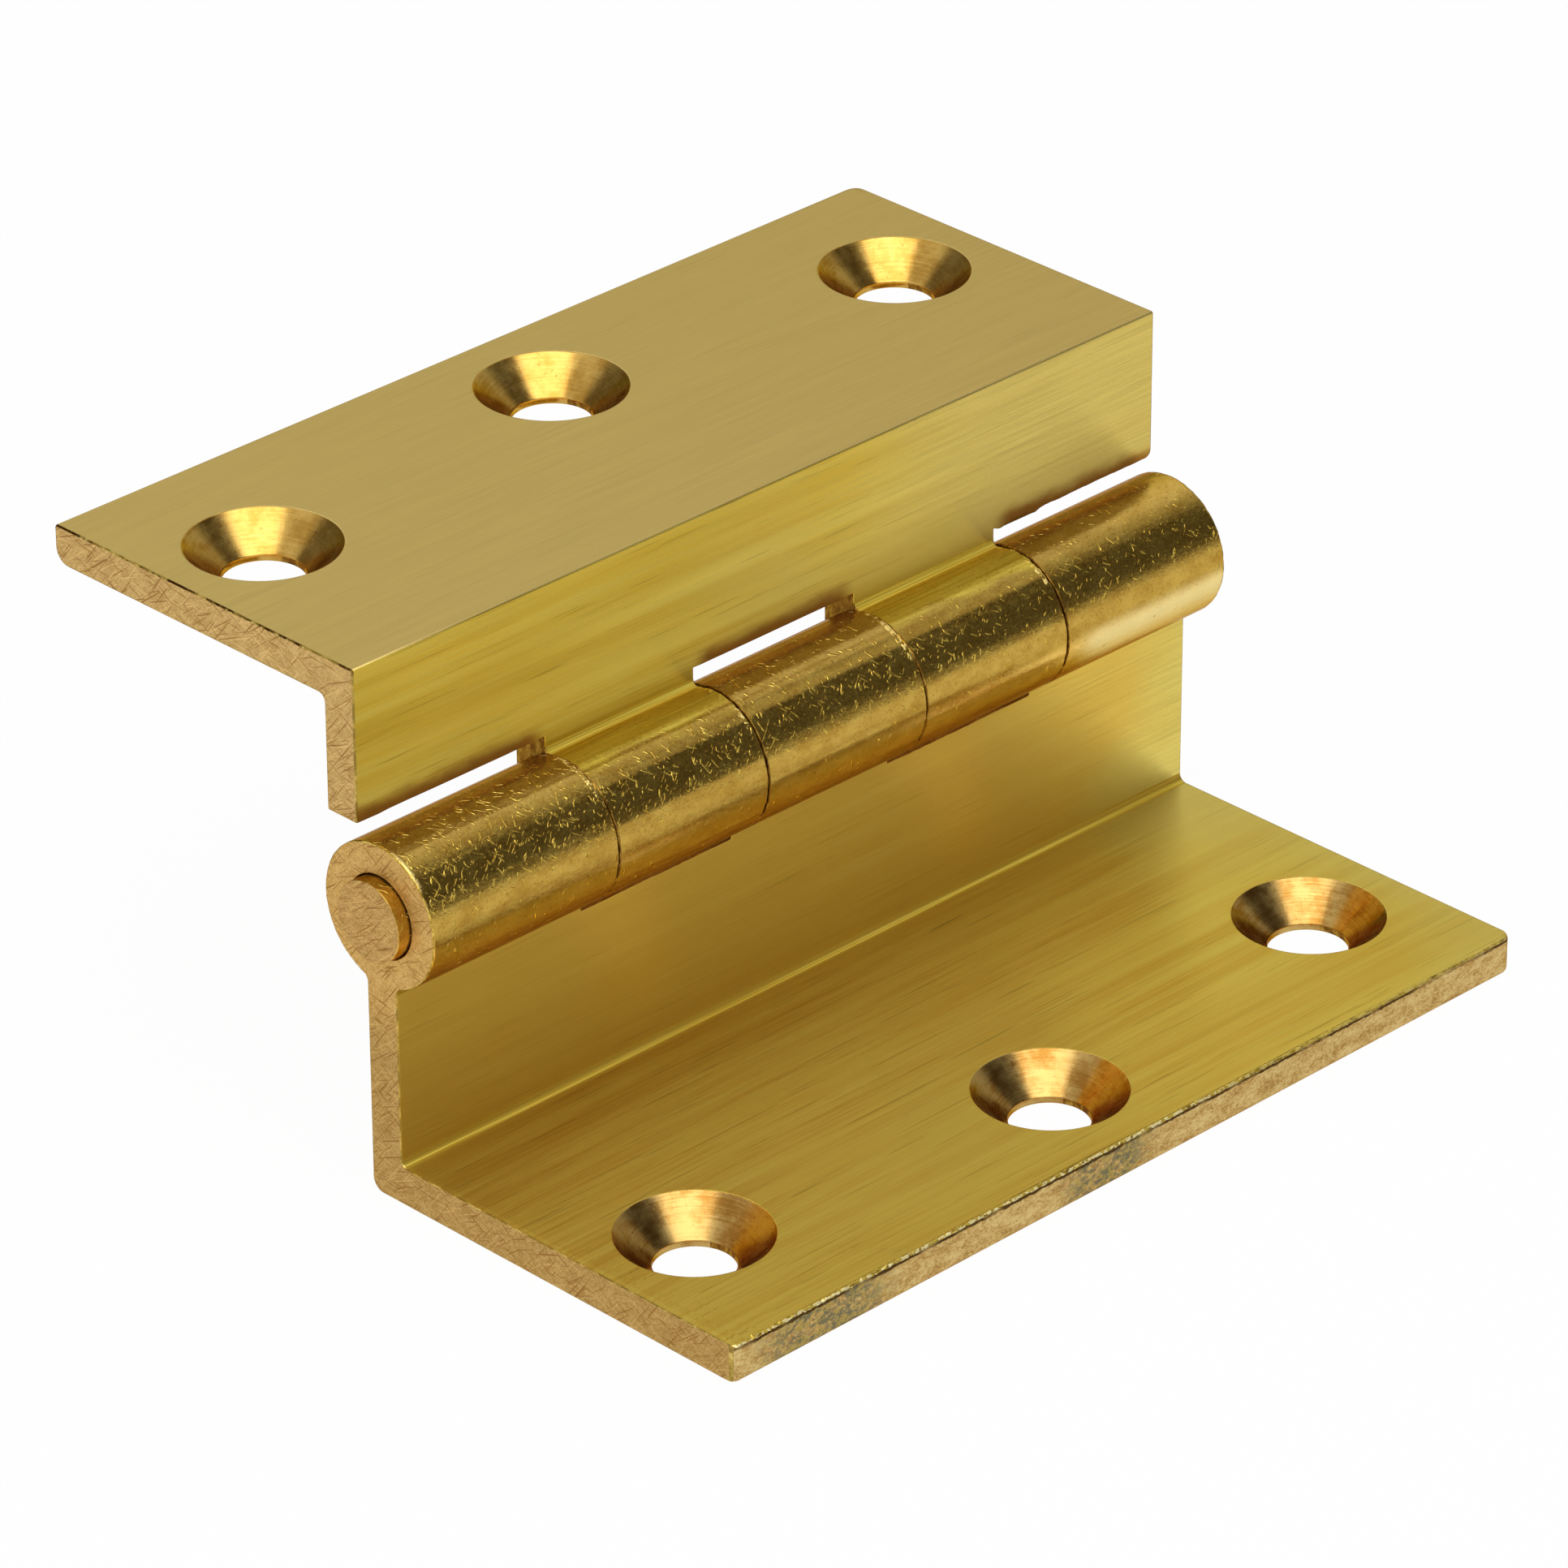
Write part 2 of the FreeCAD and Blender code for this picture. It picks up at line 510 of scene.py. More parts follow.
@dataclass(frozen=True)
class RolledBrass:
    """A knuckle's turned-over outside, bright under short tumbling scratches."""

    name: str
    dark: Colour = (0.42, 0.235, 0.035)
    light: Colour = (0.60, 0.40, 0.08)
    rough: float = 0.17
    metal: float = 0.92
    nick_depth: float = 26e-6
    smooth_over_top: bool = False

    def nicks_and_glints(self, bench: NodeBench) -> Socket:
        """Short steep dents that lean both ways, thickest high up and at the near end.

        Args:
            bench: The tree.

        Returns:
            Their height, from 0 to 1.
        """
        x, y, z = bench.parts(bench.place)
        rarer = bench.fade(y, -HALF_LENGTH, HALF_LENGTH, 0.0, 0.034)
        low = bench.fade(z, PIN_AXIS.z + 0.4, PIN_AXIS.z + 1.8, 0.05, 0.0)
        total: Input = 0.0
        for offset, lean_by, wide, long in ((6.0, 0.35, 3600, 1300), (12.0, -0.25, 4200, 1400),
                                            (19.0, 0.9, 3300, 1500), (27.0, -0.8, 6400, 2400)):
            lean = bench.times(bench.less(z, x), lean_by)
            leaning = bench.joined(x, bench.plus(y, lean), z)
            place = bench.stretched((long, wide, long), place=leaning)
            dent = bench.less(bench.noise(place, detail=1, offset=offset), rarer)
            nick = bench.between(bench.less(dent, low), 0.645, 0.72)
            total = bench.most(total, nick)
        return total

    def torn_bits_and_glints(self, bench: NodeBench) -> Socket:
        """Torn-up bits of metal beside the joints and at the near rim, painted bright as glints.

        Args:
            bench: The tree.

        Returns:
            How strong the painted glints are, from 0 to 1.
        """
        x, y, z = bench.parts(bench.place)
        total: Input = 0.0
        for joint in KNUCKLE_JOINTS:
            near = bench.maths("ABSOLUTE", bench.less(y, (joint - 0.2) * MM))
            total = bench.most(total, bench.between(near, 0.00010, 0.00024, 1.0, 0.0))
        torn = bench.grain((2600, 1900, 2600), detail=3, rough=0.7, offset=41.0)
        # The painted glints are kept to the upper side and to the side facing the light.
        high = bench.fade(z, PIN_AXIS.z + 2.6, PIN_AXIS.z + 3.4)
        total = bench.times(total, bench.between(torn, 0.50, 0.57))
        rim = bench.fade(y, -31.82, -31.62, 1.0, 0.0)
        rim = bench.times(rim, bench.between(torn, 0.40, 0.50))
        facing = bench.fade(x, PIN_AXIS.x + 0.4, PIN_AXIS.x + 1.4)
        rim = bench.times(rim, facing)
        return bench.times(bench.most(total, rim), high)

    def painted_reflection_share(self, bench: NodeBench) -> Socket:
        """How far the round takes paler colours: a painted reflection of the pale floor on all of
        its underside, and a painted highlight on half of its top.

        Args:
            bench: The tree.

        Returns:
            The share, from 0 to 1.
        """
        _, _, z = bench.parts(bench.place)
        under = bench.fade(z, PIN_AXIS.z - 0.7, PIN_AXIS.z + 0.1, 1.0, 0.0)
        top = bench.fade(z, PIN_AXIS.z + 3.9, PIN_AXIS.z + 4.3, 0.0, 0.5)
        return bench.most(under, top)

    def drawn_share(self, bench: NodeBench) -> Socket:
        """How far the round is still smooth, as drawn: at its top, if there at all.

        Args:
            bench: The tree.

        Returns:
            The share, from 0 to 1.
        """
        x, _, z = bench.parts(bench.place)
        wavy = bench.grain((900, 260, 900), detail=3, offset=51.0)
        shift = bench.times(bench.less(wavy, 0.5), 0.0022)
        edge = (PIN_AXIS.x + 0.9) * MM, (PIN_AXIS.x + 2.0) * MM
        top = 1.0 if self.smooth_over_top else 0.0
        high = bench.fade(z, PIN_AXIS.z + 2.2, PIN_AXIS.z + 3.4)
        return bench.times(bench.between(bench.plus(x, shift), edge[0], edge[1], top, 0.0), high)

    def material(self) -> bpy.types.Material:
        """Make the material.

        Returns:
            The material.
        """
        bench = BrassBench(self.name)
        grain = bench.grain((5200, 4200, 5200), detail=4, rough=0.75)
        peel = bench.grain((1100, 700, 1100), detail=3, offset=1.7)
        pores = bench.grain((5200, 6200, 5200), offset=9.0)
        pores = bench.between(pores, 0.59, 0.69)
        drawn = self.drawn_share(bench)
        hammered = bench.less(1.0, drawn)
        nicks_and_glints = bench.times(self.nicks_and_glints(bench), hammered)
        torn_bits_and_glints = self.torn_bits_and_glints(bench)
        tone = bench.plus(bench.times(grain, 0.5), bench.times(peel, 0.5))
        colour = bench.ramp(bench.between(tone, 0.34, 0.66), [(0.0, self.dark), (1.0, self.light)])
        # These paler colours are a painted reflection and highlight, not rubbed metal.
        rubbed = bench.ramp(bench.between(tone, 0.34, 0.66),
                            [(0.0, (0.76, 0.48, 0.10)), (1.0, (0.98, 0.67, 0.185))])
        colour = bench.mixed(self.painted_reflection_share(bench), colour, rubbed)
        colour = bench.mixed(bench.times(pores, 0.55), colour,
                             shaded(self.dark, 0.4))
        # Painted glints: the dents take a bright yellow colour, as if they caught the light.
        colour = bench.mixed(bench.times(nicks_and_glints, 0.5), colour, (0.94, 0.73, 0.13))
        # Painted glints: the torn bits take a near-white colour.
        colour = bench.mixed(torn_bits_and_glints, colour, (1.0, 0.78, 0.28))
        streaks = bench.grain((6000, 110, 6000), detail=3, offset=5.0)
        yellow = bench.ramp(bench.between(streaks, 0.36, 0.64),
                            [(0.0, (0.74, 0.53, 0.055)), (1.0, (0.94, 0.76, 0.13))])
        x, y, z = bench.parts(bench.place)
        # Painted hazy highlight: a pale patch low down on the far knuckle's facing side.
        facing = bench.fade(x, PIN_AXIS.x - 0.6, PIN_AXIS.x + 1.0)
        low = bench.fade(z, PIN_AXIS.z - 1.0, PIN_AXIS.z + 0.4, 0.75, 0.0)
        pale = bench.times(bench.times(bench.fade(y, 18.6, 21.6), facing), low)
        colour = bench.mixed(pale, colour, (0.92, 0.80, 0.40))
        colour = bench.mixed(drawn, colour, yellow)
        depth = bench.times(peel, hammered)
        normal = bench.bump(depth, 20e-6, 0.3)
        normal = bench.bump(bench.times(grain, hammered), 17e-6, 0.9, normal)
        normal = bench.bump(nicks_and_glints, self.nick_depth, 1.0, normal)
        normal = bench.bump(torn_bits_and_glints, 30e-6, 0.8, normal)
        rough = bench.between(grain, 0.3, 0.7, self.rough - 0.05, self.rough + 0.1)
        rough = bench.plus(rough, bench.times(torn_bits_and_glints, 0.25))
        rough = bench.plus(rough, bench.times(drawn, 0.13))
        return bench.brass(colour, rough, normal, self.metal, 0.3, (0, 1, 0))


@dataclass(frozen=True)
class BurnishedRoot:
    """A small concave radius that the die left bright, with lines along the pin."""

    name: str
    corner: Optional[tuple[float, float]] = None
    rough: float = 0.5

    def material(self) -> bpy.types.Material:
        """Make the material.

        Returns:
            The material.
        """
        bench = BrassBench(self.name)
        fine = bench.grain((9000, 60, 9000), detail=2)
        colour = bench.ramp(bench.between(fine, 0.36, 0.64),
                            [(0.0, (0.54, 0.38, 0.04)), (1.0, (0.84, 0.69, 0.12))])
        # Painted shade: a darker strip along the middle of the inner corner's crease.
        if self.corner is not None:
            x, _, z = bench.parts(bench.place)
            across = bench.less(x, self.corner[0] * MM)
            up = bench.less(z, self.corner[1] * MM)
            aside = bench.less(bench.less(across, up), 0.00018)
            aside = bench.maths("ABSOLUTE", aside)
            dull = bench.between(aside, 0.00010, 0.00030, 0.0, 0.85)
            colour = bench.mixed(dull, colour, (0.46, 0.29, 0.035))
        return bench.brass(colour, self.rough, bench.bump(fine, 3e-6, 0.3), 0.62)


@dataclass(frozen=True)
class JointBrass:
    """The sides of the knuckles, browned by rubbing and old grease."""

    name: str

    def material(self) -> bpy.types.Material:
        """Make the material.

        Returns:
            The material.
        """
        bench = BrassBench(self.name)
        rub = bench.grain((2600, 2600, 1500), detail=4, rough=0.7)
        colour = bench.ramp(bench.between(rub, 0.36, 0.66),
                            [(0.0, (0.15, 0.06, 0.01)), (0.6, (0.33, 0.17, 0.025)),
                             (1.0, (0.52, 0.32, 0.06))])
        return bench.brass(colour, bench.between(rub, 0.3, 0.7, 0.38, 0.55),
                           bench.bump(rub, 8e-6, 0.5), 0.85)


@dataclass(frozen=True)
class TurnedBrass:
    """A screw seat cut by a countersink, bright with faint rings round the hole."""

    name: str
    dark: Colour = (0.48, 0.26, 0.045)
    light: Colour = (0.68, 0.44, 0.11)
    rough: float = 0.23

    def material(self) -> bpy.types.Material:
        """Make the material.

        Returns:
            The material.
        """
        bench = BrassBench(self.name)
        rings = bench.grain((240, 240, 12500), detail=3, rough=0.75)
        stain = bench.grain((620, 620, 620), detail=4, rough=0.65, offset=2.0)
        tone = bench.plus(bench.times(rings, 0.35), bench.times(stain, 0.65))
        colour = bench.ramp(bench.between(tone, 0.38, 0.60), [(0.0, self.dark), (1.0, self.light)])
        specks = bench.grain((4600, 4600, 7000), detail=2, offset=7.0)
        specks = bench.between(specks, 0.64, 0.72)
        colour = bench.mixed(bench.times(specks, 0.55), colour, (0.16, 0.07, 0.018))
        normal = bench.bump(rings, 4e-6, 0.45)
        rough = bench.between(stain, 0.3, 0.7, self.rough - 0.03, self.rough + 0.07)
        return bench.brass(colour, rough, normal, 0.95, 0.35, (0, 0, 1))


@dataclass(frozen=True)
class WornEdge:
    """A plate's free edge: rubbed tan brass, stained, with a painted shade line, dark and ragged,
    under its lip.
    """

    name: str
    face_top: float
    stains: tuple[tuple[float, float], ...] = ((-25.0, 6.6), (-2.6, 4.6))

    def material(self) -> bpy.types.Material:
        """Make the material.

        Returns:
            The material.
        """
        bench = BrassBench(self.name)
        _, y, z = bench.parts(bench.place)
        grain = bench.grain((6800, 4200, 6800), detail=4, rough=0.75)
        mottle = bench.grain((1500, 700, 1500), detail=3, offset=3.0)
        tone = bench.plus(bench.times(grain, 0.65), bench.times(mottle, 0.35))
        colour = bench.ramp(bench.between(tone, 0.34, 0.62),
                            [(0.0, (0.36, 0.20, 0.055)), (0.5, (0.60, 0.39, 0.13)),
                             (1.0, (0.78, 0.60, 0.26))])
        blotch = bench.grain((3400, 2200, 3400), detail=4, rough=0.7, offset=5.0)
        for where, spread in self.stains:
            near = bench.maths("ABSOLUTE", bench.less(y, where * MM))
            near = bench.between(near, 0.3 * spread * MM, spread * MM, 1.0, 0.0)
            share = bench.times(near, bench.between(mottle, 0.40, 0.56, 0.0, 0.7))
            colour = bench.mixed(share, colour, (0.36, 0.27, 0.055))
            share = bench.times(near, bench.between(blotch, 0.44, 0.58, 0.0, 0.85))
            colour = bench.mixed(share, colour, (0.155, 0.155, 0.10))
        # Painted shade: a dark ragged line just under the lip, where the lip shades the edge.
        ragged = bench.grain((900, 1100, 900), detail=5, rough=0.75, offset=14.0)
        wavy = bench.plus(z, bench.times(bench.less(ragged, 0.5), 0.0005))
        top = self.face_top * MM
        line = bench.times(bench.between(wavy, top - 0.00032, top - 0.00024),
                           bench.between(wavy, top - 0.00013, top - 0.00006, 1.0, 0.0))
        broken = bench.between(bench.grain((700, 330, 700), offset=15.0),
                               0.36, 0.52, 0.35, 1.0)
        colour = bench.mixed(bench.times(line, broken), colour, (0.085, 0.042, 0.01))
        normal = bench.bump(grain, 9e-6, 0.6)
        rough = bench.between(grain, 0.3, 0.7, 0.36, 0.55)
        return bench.brass(colour, rough, normal, 0.65)


@dataclass(frozen=True)
class TornLip:
    """The torn top of the free edge: dull, with painted glints of torn metal along it."""

    name: str
    crumbs_until: float = 14.0

    def material(self) -> bpy.types.Material:
        """Make the material.

        Returns:
            The material.
        """
        bench = BrassBench(self.name)
        _, y, _ = bench.parts(bench.place)
        patch = bench.grain((2600, 1300, 2600), detail=4, rough=0.75)
        colour = bench.ramp(bench.between(patch, 0.36, 0.64),
                            [(0.0, (0.24, 0.14, 0.02)), (0.5, (0.55, 0.38, 0.055)),
                             (1.0, (0.78, 0.58, 0.11))])
        # Painted glints: near-white specks along the lip, thickest toward the near end.
        lip_glints = bench.grain((3600, 3400, 3600), detail=1, offset=4.0)
        near = bench.between(y, 0.1 * self.crumbs_until * MM, self.crumbs_until * MM, 1.0, 0.15)
        share = bench.times(bench.between(lip_glints, 0.46, 0.53), near)
        colour = bench.mixed(share, colour, (1.0, 0.86, 0.42))
        normal = bench.bump(patch, 14e-6, 0.7)
        return bench.brass(colour, 0.40, normal, 0.5)


@dataclass(frozen=True)
class BurredBrass:
    """The broken edge of a sawn face: dark where dirt sits, bright where it is rubbed."""

    name: str
    dirt: Colour = (0.22, 0.135, 0.03)
    metal: Colour = (0.46, 0.31, 0.07)
    rubbed: Colour = (0.74, 0.56, 0.17)
    rough: float = 0.32
    grimy_near_end: bool = False

    def material(self) -> bpy.types.Material:
        """Make the material.

        Returns:
            The material.
        """
        bench = BrassBench(self.name)
        patch = bench.grain((900, 900, 900), detail=4, rough=0.75)
        colour = bench.ramp(bench.between(patch, 0.42, 0.66),
                            [(0.0, self.dirt), (0.5, self.metal), (1.0, self.rubbed)])
        if self.grimy_near_end:
            _, y, z = bench.parts(bench.place)
            grime = bench.grain((420, 900, 420), detail=5, rough=0.75, offset=6.0)
            above = bench.fade(z, 32.2, 32.6)
            near = bench.times(bench.fade(y, -31.8, -31.6, 1.0, 0.0), above)
            share = bench.times(near, bench.between(grime, 0.44, 0.54))
            colour = bench.mixed(share, colour, (0.05, 0.022, 0.004))
        normal = bench.bump(patch, 12e-6, 0.5)
        return bench.brass(colour, self.rough, normal, 0.9)


class Face(IntEnum):
    """Which tool made a face, and so which of a leaf's materials it wears."""

    PLATE = 0
    FLANGE = 1
    SAWN = 2
    KNUCKLE = 3
    SEAT = 4
    EDGE = 5
    BORE = 6
    BURR = 7
    ROOT = 8
    JOINT = 9
    # Knuckle rim faces painted with a brighter burr colour as a highlight.
    RIM = 10
    LIP = 11


# ---------------------------------------------------------------- drawing


class Outline:
    """A line drawn across the pin at one place along it, with a rule and a compass."""

    def __init__(self, bm: BMesh, along: float, start: tuple[float, float]) -> None:
        """Set the pencil down.

        Args:
            bm: The mesh that it draws in.
            along: The place along the pin.
            start: The first point, across and up from the pin.
        """
        self.bm = bm
        self.along = along
        self.tip = bm.verts.new((start[0], along, start[1]))
        self.first = self.tip
        self.edges: list[BMEdge] = []

    def line(self, across: float, up: float) -> "Outline":
        """Rule a straight line.

        Args:
            across: The point to reach, across from the pin.
            up: The point to reach, up from the pin.

        Returns:
            The outline itself.
        """
        made = bmesh.ops.extrude_vert_indiv(self.bm, verts=[self.tip])
        self.tip = made["verts"][0]
        self.tip.co = (across, self.along, up)
        self.edges += made["edges"]
        return self

    def arc(self, across: float, up: float, degrees: float, steps: int) -> "Outline":
        """Swing an arc from the pencil's tip.

        Args:
            across: The compass point, across from the pin.
            up: The compass point, up from the pin.
            degrees: How far it swings, anticlockwise seen from the near end.
            steps: How many short lines make the arc.

        Returns:
            The outline itself.
        """
        known = set(self.bm.edges)
        made = bmesh.ops.spin(self.bm, geom=[self.tip], cent=(across, self.along, up),
                              axis=(0, 1, 0), angle=-math.radians(degrees), steps=steps,
                              use_merge=False, use_duplicate=False)
        self.edges += [edge for edge in self.bm.edges if edge not in known]
        self.tip = next(e for e in made["geom_last"] if isinstance(e, BMVert))
        return self

    def run_to(self, along: float) -> None:
        """Pull the whole line along the pin into a wall.

        Args:
            along: The place to pull it to.
        """
        made = bmesh.ops.extrude_edge_only(self.bm, edges=self.edges)
        verts = [e for e in made["geom"] if isinstance(e, BMVert)]
        bmesh.ops.translate(self.bm, verts=verts, vec=(0, along - self.along, 0))


def ring(bm: BMesh, centre: Sequence[float], radius: float, steps: int,
         turn: Optional[Matrix] = None) -> list[BMEdge]:
    """Draw a circle.

    Args:
        bm: The mesh.
        centre: Its centre.
        radius: Its radius.
        steps: How many short lines make it.
        turn: Turns it out of the level plane.

    Returns:
        Its edges.
    """
    matrix = Matrix.Translation(centre) @ (turn or Matrix.Identity(4))
    verts = set(bmesh.ops.create_circle(bm, segments=steps, radius=radius, matrix=matrix)["verts"])
    return [e for e in bm.edges if set(e.verts) <= verts]


def sharp_edges(bm: BMesh, degrees: float) -> list[BMEdge]:
    """The edges whose two faces meet at more than an angle."""
    return [e for e in bm.edges if e.is_manifold and e.calc_face_angle() > math.radians(degrees)]


def reading_order(vert: BMVert) -> tuple[float, ...]:
    """Where a point stands along, across and up, so that draws meet points in one order."""
    return tuple(round(part, 3) for part in (vert.co.y, vert.co.x, vert.co.z))


def save_mesh(bm: BMesh, name: str, turned: bool, materials: Sequence[bpy.types.Material]
              ) -> bpy.types.Object:
    """Place a finished mesh in the hinge's frame and make its object.

    Args:
        bm: The mesh, in millimetres from the pin's axis. It is freed.
        name: The piece's name.
        turned: True where the piece is turned half round the pin.
        materials: Its materials, in the order of its faces' numbers.

    Returns:
        The object.
    """
    place = Matrix.Scale(MM, 4) @ Matrix.Translation(PIN_AXIS)
    if turned:
        place = place @ Matrix.Rotation(math.pi, 4, "Y")
    bm.transform(place)
    for piece in bm.faces:
        piece.smooth = True
    mesh = bpy.data.meshes.new(name)
    bm.to_mesh(mesh)
    bm.free()
    mesh.set_sharp_from_angle(angle=math.radians(SMOOTH_BELOW))
    for material in materials:
        mesh.materials.append(material)
    piece = bpy.data.objects.new(name, mesh)
    bpy.context.scene.collection.objects.link(piece)
    even = piece.modifiers.new("even_shading", "WEIGHTED_NORMAL")
    even.keep_sharp = True
    even.weight = 80
    return piece


# ---------------------------------------------------------------- the leaves


class SunkFrom(Enum):
    """Which face of a plate the screw heads sink into."""

    INSIDE = "the face that the flange stands on"
    OUTSIDE = "the face turned away from the flange"


@dataclass(frozen=True)
class Burr:
    """A lump of metal that the saw left hanging from a notch's edge."""

    along: float
    height: float
    width: float


@dataclass
class CrankedLeaf:
    """One leaf: a sawn length of cranked section, notched for the other leaf's knuckles.

    Sizes are taken with the leaf shut: the flange hangs below the pin and the plate
    runs to +X at its foot.
    """

    name: str
    flange_back: float
    depth: float
    width: float
    notch_gap: float
    own_knuckles: tuple[int, ...]
    sunk_from: SunkFrom
    turned: bool
    outer_corner: float = 0.0
    front_root: bool = True
    notch_end_radius: float = 0.0
    thickness: float = 2.4
    inner_corner: float = 0.5
    root_radius: float = 0.5
    edge_radius: float = 0.2
    inner_edge_radius: float = 0.2
    far_corner: float = 0.8
    near_corner: float = 0.0
    knuckle_radius: float = KNUCKLE_RADIUS
    knuckle_shift: tuple[float, float] = (0.0, 0.0)
    bore_radius: float = 2.56
    edge_break: float = 0.07
    hole_places: tuple[tuple[float, float], ...] = ((10.1, -25.25), (7.0, 0.0), (10.1, 25.25))
    seat_radius: float = 4.6
    seat_depth: float = 2.0
    screw_radius: float = 2.4
    burrs: tuple[Burr, ...] = ()
    saw_wander: float = 0.05
    edge_burr: float = 0.0
    seed: int = 1
    bm: BMesh = field(default_factory=bmesh.new, repr=False)

    @property
    def front(self) -> float:
        """Where the flange's front face is."""
        return self.flange_back + self.thickness

    @property
    def free(self) -> float:
        """Where the plate's free edge is."""
        return self.flange_back + self.width

    @property
    def plate_top(self) -> float:
        """How high the plate's inner face is."""
        return self.thickness - self.depth

    @property
    def notch(self) -> float:
        """How high the notches' floor is."""
        return -KNUCKLE_RADIUS - self.notch_gap

    def spans(self) -> list[tuple[float, float, bool]]:
        """Part the leaf's length at the knuckle joints.

        Returns:
            Where each part starts and stops, and whether it has a knuckle.
        """
        side = 1 if 0 in self.own_knuckles else -1
        cuts = [-HALF_LENGTH]
        for number, joint in enumerate(KNUCKLE_JOINTS):
            cuts.append(joint - side * SIDE_GAP * (1 if number % 2 == 0 else -1))
        cuts.append(HALF_LENGTH)
        return [(low, high, number in self.own_knuckles)
                for number, (low, high) in enumerate(zip(cuts, cuts[1:]))]

    def draw_plate(self, line: Outline) -> None:
        """Draw the section from the flange's back round the plate to its front.

        Args:
            line: The outline, which stands at the notch's floor.
        """
        radius = self.outer_corner
        if radius:
            line.line(self.flange_back, radius - self.depth)
            line.arc(self.flange_back + radius, radius - self.depth, 90, 8)
        else:
            line.line(self.flange_back, -self.depth)
        tip = self.free - self.edge_radius
        line.line(tip, -self.depth)
        line.arc(tip, self.edge_radius - self.depth, 90, 4)
        tip = self.free - self.inner_edge_radius
        line.line(self.free, self.plate_top - self.inner_edge_radius)
        line.arc(tip, self.plate_top - self.inner_edge_radius, 90,
                 4 if self.inner_edge_radius < 0.5 else 10)
        line.line(self.front + self.inner_corner, self.plate_top)
        line.arc(self.front + self.inner_corner, self.plate_top + self.inner_corner, -90, 6)
        line.line(self.front, self.notch)

    def draw_knuckle(self, line: Outline) -> None:
        """Draw the knuckle's round from the flange's front over to its back.

        Args:
            line: The outline, which stands at the notch's floor.
        """
        cx, cz = self.knuckle_shift
        radius, root = self.knuckle_radius, self.root_radius
        reach = radius + root
        if self.front_root:
            side = self.front + root - cx
            drop = -math.sqrt(reach ** 2 - side ** 2)
            line.line(self.front, drop + cz)
            meet = math.degrees(math.atan2(-drop, -side))
            line.arc(side + cx, drop + cz, meet - 180, 5)
            start = math.degrees(math.atan2(drop, side))
        else:
            side = self.front - cx
            drop = -math.sqrt(radius ** 2 - side ** 2)
            line.line(self.front, drop + cz)
            start = math.degrees(math.atan2(drop, side))
        side = self.flange_back - root - cx
        drop = -math.sqrt(reach ** 2 - side ** 2)
        stop = math.degrees(math.atan2(drop, side)) % 360
        line.arc(cx, cz, stop - start, 104)
        meet = math.degrees(math.atan2(-drop, -side))
        line.arc(side + cx, drop + cz, -meet, 5)
        line.line(self.flange_back, self.notch)

    def draw_walls(self) -> None:
        """Draw each length's section and pull it along to the next."""
        upright = Matrix.Rotation(math.pi / 2, 4, "X")
        for low, high, has_knuckle in self.spans():
            line = Outline(self.bm, low, (self.flange_back, self.notch))
            self.draw_plate(line)
            if has_knuckle:
                self.draw_knuckle(line)
                bore = ring(self.bm, (0, low, 0), self.bore_radius, 72, upright)
                made = bmesh.ops.extrude_edge_only(self.bm, edges=bore)
                verts = [e for e in made["geom"] if isinstance(e, BMVert)]
                bmesh.ops.translate(self.bm, verts=verts, vec=(0, high - low, 0))
            else:
                line.line(self.flange_back, self.notch)
            line.run_to(high)
        bmesh.ops.remove_doubles(self.bm, verts=self.bm.verts, dist=WELD)

    def close_ends(self) -> None:
        """Close the open outlines at the leaf's ends and beside each knuckle."""
        for cut in {value for low, high, _ in self.spans() for value in (low, high)}:
            rim = [e for e in self.bm.edges if e.is_boundary
                   and all(abs(v.co.y - cut) < FLAT for v in e.verts)]
            bmesh.ops.triangle_fill(self.bm, edges=rim, use_beauty=True, use_dissolve=True,
                                    normal=(0, 1, 0))

    def sink_holes(self) -> None:
        """Cut the three countersunk screw holes through the plate."""
        outside, inside = -self.depth, self.plate_top
        sunk, other = ((inside, outside) if self.sunk_from is SunkFrom.INSIDE
                       else (outside, inside))
        floor = sunk + math.copysign(self.seat_depth, other - sunk)
        for level in (outside, inside):
            faces = [f for f in self.bm.faces
                     if abs(f.normal.z) > 0.99 and all(abs(v.co.z - level) < FLAT for v in f.verts)]
            bmesh.ops.delete(self.bm, geom=faces, context="FACES")
        rings: dict[float, list[BMEdge]] = {outside: [], inside: []}
        for inset, along in self.hole_places:
            across = self.free - inset
            mouth = ring(self.bm, (across, along, sunk), self.seat_radius, 72)
            waist = ring(self.bm, (across, along, floor), self.screw_radius, 72)
            exit_rim = ring(self.bm, (across, along, other), self.screw_radius, 72)
            bmesh.ops.bridge_loops(self.bm, edges=mouth + waist)
            bmesh.ops.bridge_loops(self.bm, edges=waist + exit_rim)
            rings[sunk] += mouth
            rings[other] += exit_rim
        for level in (outside, inside):
            rim = [e for e in self.bm.edges if e.is_boundary
                   and all(abs(v.co.z - level) < FLAT for v in e.verts)]
            bmesh.ops.triangle_fill(self.bm, edges=rim, use_beauty=True, use_dissolve=True,
                                    normal=(0, 0, 1))

    def round_free_corners(self) -> None:
        """Round the plate's free corners, seen square to the plate."""
        edge = self.free - max(self.edge_radius, self.inner_edge_radius) - 0.01
        for end, radius in ((1, self.far_corner), (-1, self.near_corner)):
            if not radius:
                continue
            start = HALF_LENGTH - radius
            for step in range(0, 6):
                along = end * (start + radius * math.sin(math.radians(15 * step)))
                geom = list(self.bm.verts) + list(self.bm.edges) + list(self.bm.faces)
                bmesh.ops.bisect_plane(self.bm, geom=geom, dist=1e-5, plane_co=(0, along, 0),
                                       plane_no=(0, 1, 0))
            for vert in self.bm.verts:
                if vert.co.x > edge and end * vert.co.y > start:
                    share = min(1.0, (end * vert.co.y - start) / radius)
                    vert.co.x -= radius * (1 - math.sqrt(max(0.0, 1 - share ** 2)))

